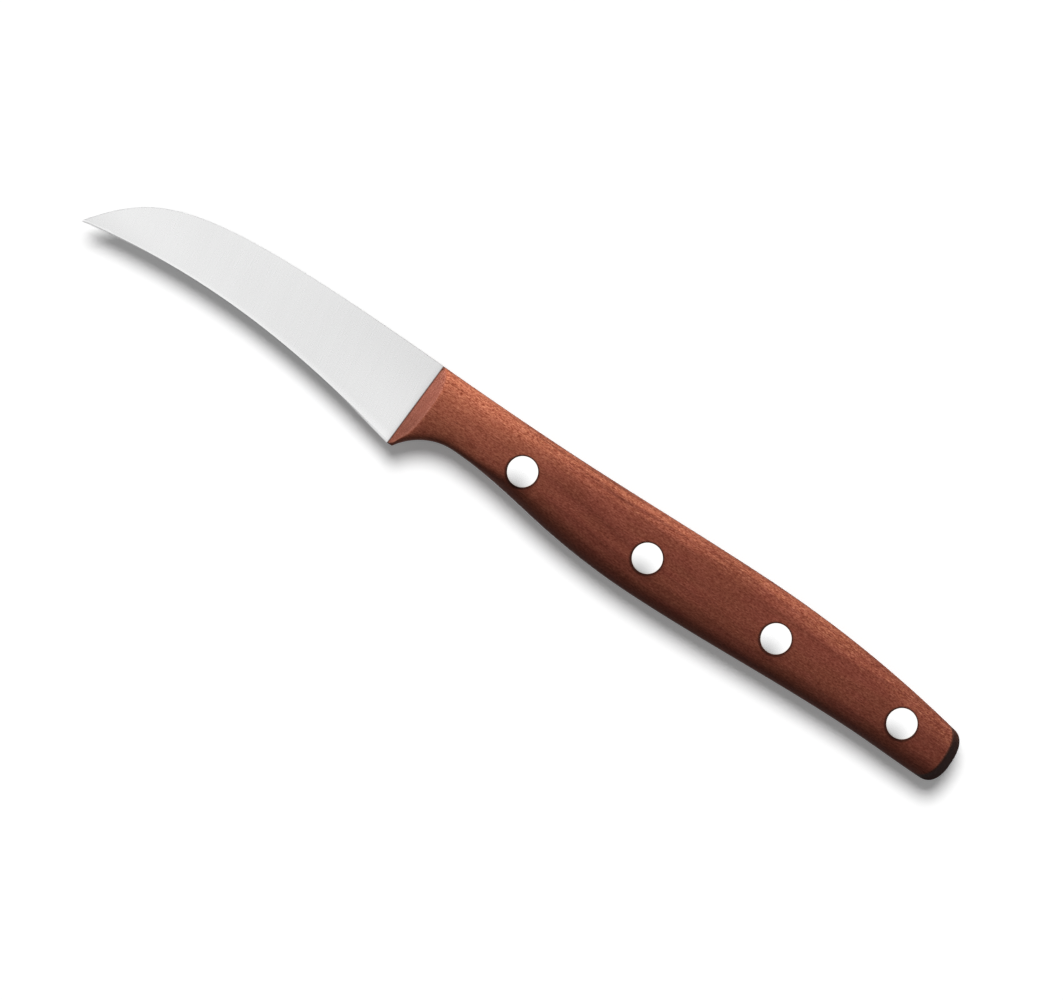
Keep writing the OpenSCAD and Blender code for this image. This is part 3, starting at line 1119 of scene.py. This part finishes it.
# %% The wood's finish
seat_shift, seat_from, seat_to, seat_dirt_and_shadow = (0.03, 0.14, 0.0), 0.12, 0.5, 0.85
joint_from, joint_to, joint_dirt = 0.02, 0.25, 0.7
pore_steps, pore_share, pore_rough, pore_depth = (0.63, 0.74), 0.5, 0.15, 0.02
fleck_steps = (0.54, 0.7)
mound_width, mound_h, mottle_h, fibre_h = 1.6, 0.12, 0.03, 0.01
wood_smooth, wood_rough, wood_gloss = 0.46, 0.62, 0.08


def dirt_and_shadow_lines(tree, where, at, colour):
    """Dark lines round the pins, partly dirt and partly painted shadow, and along the tang."""
    # The ring round each pin is partly dirt and partly painted shadow: its centre is shifted, so it is
    # wider on the side away from the light.
    beside = add(tree, "ShaderNodeMapping", {"Vector": where, "Location": seat_shift}).outputs[0]
    gap = minus(tree, placed(tree, nearest_pin, Vector=beside), head_d / 2)
    seat = inverse(tree, step_between(tree, gap, seat_from, seat_to))
    colour = laid(tree, colour, dirt_and_shade_colour, seat, seat_dirt_and_shadow)
    above = calc(tree, "ABSOLUTE", minus(tree, at["Z"], float(shift[2])))
    joint = inverse(tree, step_between(tree, above, half_t + joint_from, half_t + joint_to))
    return laid(tree, colour, dirt_and_shade_colour, joint, joint_dirt)


def wood_finish():
    """All layers of the wood, from the figure of the trunk up to the dirt and painted shade."""
    material, tree, shader = new_material("oiled_plum_wood")
    where = in_mm(tree)
    at = axes_of(tree, where)
    fibre = placed(tree, fine_lines, Vector=where, Length=3.2, Width=0.22, Contrast=1.6)
    mottle = stretched_noise(tree, where, mottle_scale, detail=2.0)
    pores = placed(tree, fine_lines, Vector=where, Length=1.3, Width=0.09, Contrast=1.0)
    pore = step_between(tree, pores, *pore_steps)
    fleck = step_between(tree, stretched_noise(tree, where, fleck_scale, detail=1.0), *fleck_steps)
    colour, golden = lighter_bands(tree, where, at, trunk_figure(tree, where, at))
    colour = cut_faces(tree, where, at, darker_parts(tree, where, at, colour))
    colour = tint(tree, 1.0, colour, grain_shades(tree, where, fibre, mottle), "MULTIPLY")
    colour = laid(tree, colour, wood_gold, fleck, golden)
    colour = laid(tree, colour, wood_dark, pore, pore_share)
    tree.links.new(dirt_and_shadow_lines(tree, where, at, colour), shader.inputs["Base Color"])
    rough = ranged(tree, fibre, 0, 1, wood_smooth, wood_rough)
    tree.links.new(calc(tree, "ADD", rough, times(tree, pore, pore_rough)), shader.inputs["Roughness"])
    around = minus(tree, placed(tree, nearest_pin, Vector=where), head_d / 2)
    normal = relief(tree, inverse(tree, step_between(tree, around, 0.0, mound_width)), mound_h)
    for height, depth in ((inverse(tree, pore), pore_depth), (mottle, mottle_h), (fibre, fibre_h)):
        normal = relief(tree, height, depth, normal)
    tree.links.new(normal, shader.inputs["Normal"])
    shader.inputs["Specular IOR Level"].default_value = wood_gloss
    return material


wood = wood_finish()
for piece in (upper, lower):
    piece.data.materials.append(wood)

# %% [markdown]
# ## Satin steel
#
# The blade is ground on a wheel that runs across it and then finely polished, which leaves
# a satin face with hair-fine lines from spine to edge. The lines are too fine to see one by
# one, so they go into roughness and a very shallow relief rather than into the mesh. Towards
# the handle and the spine the face is painted a shade greyer: painted shade for the darker
# reflection near the wood. The honed bevel is painted brighter, a painted highlight. In the
# corner between steel and wood a thin dark line of painted shade is laid, with a faint
# painted shade beside it.

# %% The honed edge
honed_reach, rim_points = 1.05, 400


def mark_honed(piece):
    """Marks the bevel along the edge, which is painted brighter than the ground face as a painted
    highlight.
    """
    x, y = points_of(piece)[:2]
    rim = edge(np.linspace(0, 1, rim_points))
    off = np.array([np.hypot(rim[:, 0] - a, rim[:, 1] - b).min() for a, b in zip(x, y)])
    honed = (off < honed_reach * bevel_h) & (x < 0)
    store(piece, "honed", honed)
    print("honed points:", int(honed.sum()))


mark_honed(blade)

# %% The blade's finish
steel_colour, steel_soft, honed_highlight_colour = (0.91,) * 3, (0.896,) * 3, (1.0,) * 3
black = (0.0,) * 3
wheel_turn, soft_steps = 82.0, (0.25, 0.75)
greyer_x, greyer_y, heel_shade = (-62.0, -22.0), (-5.0, 8.5), 0.11
seams, seam_end = ((1.3, 0.07), (0.17, 0.6)), 0.1
steel_smooth, steel_rough, steel_relief = 0.25, 0.31, 0.0005


def seam_shades(tree, at, colour):
    """Painted shade: darkens the steel within some reach of the slanted front of the wood."""
    beyond = minus(tree, at["X"], times(tree, at["Y"], front_slant))
    beyond = minus(tree, beyond, float(shift[0] - front_slant * shift[1]))
    visible = inverse(tree, step_between(tree, beyond, 0.0, seam_end))
    for reach, darker in seams:
        seam = times(tree, step_between(tree, beyond, -reach, 0.0), visible)
        colour = laid(tree, colour, black, seam, darker)
    return colour


def steel_finish():
    """Ground steel with its wheel lines, painted shade near the handle and in the corner at the wood,
    and the bevel's painted highlight.
    """
    material, tree, shader = new_material("satin_steel")
    where = in_mm(tree)
    at = axes_of(tree, where)
    across = turned_by(tree, where, wheel_turn)
    lines = placed(tree, fine_lines, Vector=across, Length=9.0, Width=0.09, Contrast=1.4)
    soft = placed(tree, fine_lines, Vector=across, Length=26.0, Width=2.2, Contrast=1.0)
    colour = tint(tree, step_between(tree, soft, *soft_steps), steel_soft, steel_colour)
    # Painted shade: the face turns a little greyer towards the handle and the spine.
    handle_painted_shade = times(tree, step_between(tree, at["X"], *greyer_x), step_between(tree, at["Y"], *greyer_y))
    colour = laid(tree, colour, black, handle_painted_shade, heel_shade)
    # Painted highlight: the honed bevel is drawn brighter than the ground face.
    colour = tint(tree, mark(tree, "honed"), colour, honed_highlight_colour)
    tree.links.new(seam_shades(tree, at, colour), shader.inputs["Base Color"])
    tree.links.new(ranged(tree, lines, 0, 1, steel_smooth, steel_rough), shader.inputs["Roughness"])
    tree.links.new(relief(tree, lines, steel_relief), shader.inputs["Normal"])
    shader.inputs["Metallic"].default_value = 1.0
    return material


blade.data.materials.clear()
blade.data.materials.append(steel_finish())

# %% [markdown]
# ## Polished aluminium
#
# The heads of the pins are sanded flush together with the wood and polished with it, so
# they carry short scratches in the direction of the belt. Their rim is tinted warmer as a
# painted reflection of the wood round them.

# %% The pins' finish
pin_colour, pin_rim_reflection_colour = (0.97, 0.97, 0.97), (0.97, 0.93, 0.89)
rim_from, rim_to = 0.35, 0.05
pin_smooth, pin_rough, pin_relief = 0.16, 0.22, 0.0008


def aluminium_finish():
    """Polished aluminium, with a painted reflection of the wood that makes the rim a little warmer."""
    material, tree, shader = new_material("polished_aluminium")
    where = in_mm(tree)
    lines = placed(tree, fine_lines, Vector=where, Length=1.6, Width=0.07, Contrast=1.4)
    from_axis = placed(tree, nearest_pin, Vector=where)
    # Painted reflection: the rim is tinted warmer, as if it mirrored the wood.
    rim = step_between(tree, from_axis, head_d / 2 - rim_from, head_d / 2 - rim_to)
    tree.links.new(tint(tree, rim, pin_colour, pin_rim_reflection_colour), shader.inputs["Base Color"])
    tree.links.new(ranged(tree, lines, 0, 1, pin_smooth, pin_rough), shader.inputs["Roughness"])
    tree.links.new(relief(tree, lines, pin_relief), shader.inputs["Normal"])
    shader.inputs["Metallic"].default_value = 1.0
    return material


aluminium = aluminium_finish()

# %% Turning the pins
pin_sides, pin_seed, pin_sharp = 96, 7, 40


def make_pins():
    """All four pins as one plain mesh, with their faces outwards."""
    turning = bpy.data.meshes.new("pin_outline")
    turning.from_pydata([(r * MM, 0, z * MM) for r, z in outline],
                        [(i, i + 1) for i in range(len(outline) - 1)], [])
    pattern = bpy.data.objects.new("pin_outline", turning)
    drilled = bpy.data.meshes.new("drilled_places")
    drilled.from_pydata(place([(x, y, 0) for x, y in rivet_places]).tolist(), [], [])
    made = bpy.data.objects.new("handle_pins", drilled)
    for item in (pattern, made):
        bpy.context.scene.collection.objects.link(item)
    tree = pin_tree()
    values = {"Outline": pattern, "Sides": pin_sides, "Seed": pin_seed, "Metal": aluminium}
    nodes = made.modifiers.new("pins on their places", "NODES")
    nodes.node_group = tree
    for item in tree.interface.items_tree:
        if item.in_out == "INPUT" and item.name in values:
            nodes[item.identifier] = values[item.name]
    seen = made.evaluated_get(bpy.context.evaluated_depsgraph_get())
    made.data = bpy.data.meshes.new_from_object(seen)
    made.modifiers.clear()
    bpy.data.objects.remove(pattern)
    work = bmesh.new()
    work.from_mesh(made.data)
    if work.calc_volume(signed=True) < 0:
        bmesh.ops.reverse_faces(work, faces=work.faces)
    print("pins:", len(work.faces), "faces,", round(work.calc_volume(signed=True) / MM**3), "mm3")
    work.to_mesh(made.data)
    work.free()
    made.data.shade_smooth()
    made.data.set_sharp_from_angle(angle=math.radians(pin_sharp))
    return made


pins = make_pins()

# %% [markdown]
# ## Everything rides on one body
#
# Nothing moves on this knife, so each piece rides on the frame's only body and stands for
# the solids that it covers.

# %% Ride and replace
for piece, slot, nodes in (
        (blade, "blade_steel", ["blade"]), (upper, "handle_wood", ["scale_upper"]),
        (lower, "handle_wood", ["scale_lower"]),
        (pins, "rivet_metal", [f"rivet_{i + 1}" for i in range(rivet_n)])):
    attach(piece, "root")
    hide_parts(*nodes)

# %% [markdown]
# ## Camera
#
# The photograph looks straight down from far away, and the knife lies slanted in it. A
# long lens keeps the outline free of perspective.

# %% The camera
view_turn = math.radians(33.45)


def picture_way(right, up):
    """A direction that is seen in the picture as right and up, as a direction in the frame."""
    return Vector((right * math.cos(view_turn) - up * math.sin(view_turn),
                   right * math.sin(view_turn) + up * math.cos(view_turn), 0)).normalized()


def leaning(degrees, toward):
    """Straight up, leaned by some degrees toward a direction."""
    tilt = math.radians(degrees)
    return toward * math.sin(tilt) + Vector((0, 0, math.cos(tilt)))


view_width = 185.0
look_x, look_y, look_z = 2.99, -2.89, 6.0
lens, sensor = 250.0, 36.0

camera_data = bpy.data.cameras.new("camera")
camera_data.lens, camera_data.sensor_width = lens, sensor
camera = bpy.data.objects.new("camera", camera_data)
bpy.context.scene.collection.objects.link(camera)
camera.location = Vector((look_x, look_y, look_z + view_width * lens / sensor)) * MM
camera.rotation_euler = (0, 0, view_turn)
bpy.context.scene.camera = camera

# %% [markdown]
# ## Floor and light
#
# The light comes from the top of the picture. One soft sun draws the short shadow on the
# floor and two lower ones model the round shoulders of the wood: with light linking, each
# lamp reaches only what it is meant for. Only the lower half of the knife stops the first
# sun, so that the handle's shadow is as short as the blade's. The floor is white to the
# camera. The metals mirror no lamp, only a white sky that darkens towards the bottom of
# the picture, with a soft grey place to the lower left of the camera, which shades the
# domes of the pins.

# %% The floor
floor_fill, floor_mirrored, floor_bounce = 0.15, 0.28, 0.18
floor_size = 3.0


def mirror_rays(tree):
    """1 for what the metals mirror straight into the camera, and 1 for the camera's own rays."""
    path = add(tree, "ShaderNodeLightPath").outputs
    shiny = calc(tree, "MAXIMUM", path["Is Glossy Ray"], path["Is Transmission Ray"])
    direct = calc(tree, "LESS_THAN", path["Diffuse Depth"], 0.5)
    return times(tree, shiny, direct), path["Is Camera Ray"]


def floor_finish():
    """White to the camera, grey to the metals, and nearly dark to the light that it returns."""
    material = bpy.data.materials.new("white_floor")
    material.use_nodes = True
    tree = material.node_tree
    tree.nodes.clear()
    mirrors, camera_sees = mirror_rays(tree)
    white = add(tree, "ShaderNodeBsdfDiffuse", {"Color": (1, 1, 1, 1)})
    lift = add(tree, "ShaderNodeEmission", {"Color": (1, 1, 1, 1), "Strength": floor_fill})
    seen = add(tree, "ShaderNodeAddShader", {0: white.outputs[0], 1: lift.outputs[0]})
    mirrored = add(tree, "ShaderNodeEmission", {"Color": (1, 1, 1, 1), "Strength": floor_mirrored})
    bounced = add(tree, "ShaderNodeBsdfDiffuse", {"Color": (floor_bounce,) * 3 + (1,)})
    dull = add(tree, "ShaderNodeMixShader", {0: mirrors, 1: bounced.outputs[0], 2: mirrored.outputs[0]})
    final = add(tree, "ShaderNodeMixShader", {0: camera_sees, 1: dull.outputs[0], 2: seen.outputs[0]})
    add(tree, "ShaderNodeOutputMaterial", {"Surface": final.outputs[0]})
    return material


floor_mesh = bpy.data.meshes.new("floor")
a = floor_size / 2
floor_mesh.from_pydata([(-a, -a, 0), (a, -a, 0), (a, a, 0), (-a, a, 0)], [], [(0, 1, 2, 3)])
floor_mesh.materials.append(floor_finish())
floor = bpy.data.objects.new("floor", floor_mesh)
bpy.context.scene.collection.objects.link(floor)

# %% The lamps
floor_only = bpy.data.collections.new("floor_only")
floor_only.objects.link(floor)
all_but_floor = bpy.data.collections.new("all_but_floor")
all_but_floor.objects.link(floor)
all_but_floor.collection_objects[0].light_linking.link_state = "EXCLUDE"
lower_half = bpy.data.collections.new("lower_half")
for piece in (blade, lower):
    lower_half.objects.link(piece)


def sun(name, reaches, from_zenith, level, softness, shadow=True, stopped_by=None):
    """A sun from the top of the picture. level is what it gives to a level surface."""
    lamp = bpy.data.lights.new(name, "SUN")
    lamp.energy = level * math.pi / math.cos(math.radians(from_zenith))
    lamp.angle = math.radians(softness)
    lamp.use_shadow = shadow
    made = bpy.data.objects.new(name, lamp)
    made.rotation_euler = leaning(from_zenith, picture_way(0, 1)).to_track_quat("Z", "Y").to_euler()
    bpy.context.scene.collection.objects.link(made)
    made.visible_glossy = False
    made.light_linking.receiver_collection = reaches
    made.light_linking.blocker_collection = stopped_by


sun("shadow_sun", floor_only, from_zenith=27, level=0.75, softness=27.5, stopped_by=lower_half)
sun("shaping_sun", all_but_floor, from_zenith=46, level=0.76, softness=36)
sun("shoulder_sun", all_but_floor, from_zenith=78, level=0.09, softness=30, shadow=False)

# %% The world
fill_level, sky_level, low_level = 0.15, 1.155, 0.16
sky_lean, sky_full, sky_end = 8.0, 34.0, 84.0
patch_lean, patch_width, patch_level = 22.0, 28.0, 0.2
patch_way = (-0.5, -0.87)


def make_world():
    """A white world to the camera, a shaded sky to the metals and a plain low fill to the rest."""
    world = bpy.data.worlds.new("studio")
    world.use_nodes = True
    tree = world.node_tree
    tree.nodes.clear()
    ray = add(tree, "ShaderNodeTexCoord").outputs["Generated"]

    def fading(axis, near, far, near_level, far_level):
        """Light of a level near an axis that fades to another level farther off, in degrees."""
        facing = add(tree, "ShaderNodeVectorMath", {0: ray, 1: tuple(axis)}, operation="DOT_PRODUCT")
        angle = calc(tree, "ARCCOSINE", calc(tree, "MINIMUM", facing.outputs["Value"], 1.0))
        return add(tree, "ShaderNodeMapRange", {
            "Value": angle, "From Min": math.radians(near), "From Max": math.radians(far),
            "To Min": near_level, "To Max": far_level}, interpolation_type="SMOOTHSTEP").outputs[0]

    sky = fading(leaning(sky_lean, picture_way(0, 1)), sky_full, sky_end, sky_level, low_level)
    patch = fading(leaning(patch_lean, picture_way(*patch_way)), 0, patch_width, patch_level, 1.0)
    mirrors, camera_sees = mirror_rays(tree)
    mirrored = minus(tree, times(tree, sky, patch), fill_level)
    level = calc(tree, "ADD", times(tree, mirrors, mirrored), fill_level)
    level = calc(tree, "ADD", level, times(tree, camera_sees, 1.0 - fill_level))
    light = add(tree, "ShaderNodeBackground", {"Color": (1, 1, 1, 1), "Strength": level})
    add(tree, "ShaderNodeOutputWorld", {"Surface": light.outputs[0]})
    bpy.context.scene.world = world


make_world()
bpy.context.scene.view_settings.view_transform = "Standard"
